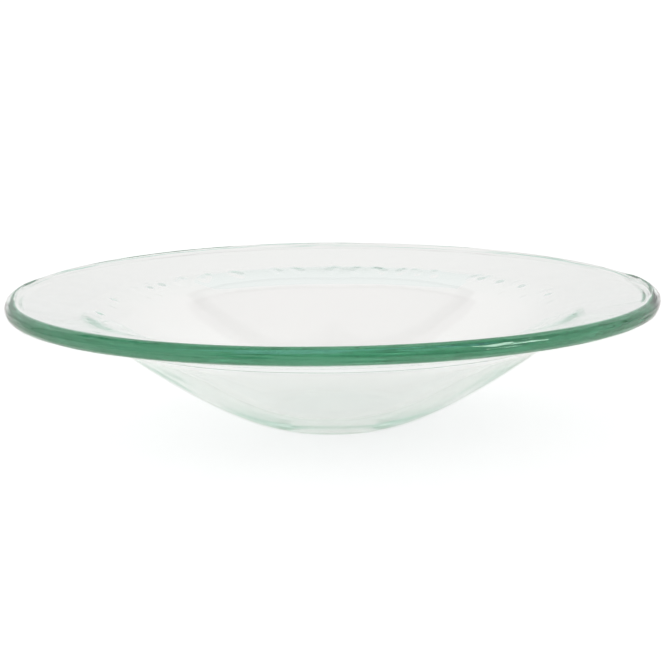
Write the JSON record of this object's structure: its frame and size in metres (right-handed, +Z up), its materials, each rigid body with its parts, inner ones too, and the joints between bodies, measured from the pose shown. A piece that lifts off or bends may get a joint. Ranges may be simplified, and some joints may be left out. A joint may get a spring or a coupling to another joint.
{
  "type": "glass bowl",
  "caption": "Round slumped glass bowl: a curved well on a small flat foot, under a wide sloping flange that ends in a thick rounded lip; it holds fruit, water or loose things.",
  "frame": {"origin": "centre of the flat foot, on the surface that the bowl stands on", "axes": "+Z up along the axis that the bowl is round about; +X and +Y are any two level directions"},
  "size_m": [0.4, 0.4, 0.085],
  "materials": {
    "green_glass": "clear fire-polished glass, nearly colourless through the wall and green along the thick lip"
  },
  "bodies": {
    "root": {"glass_bowl": "green_glass"}
  },
  "joints": []
}
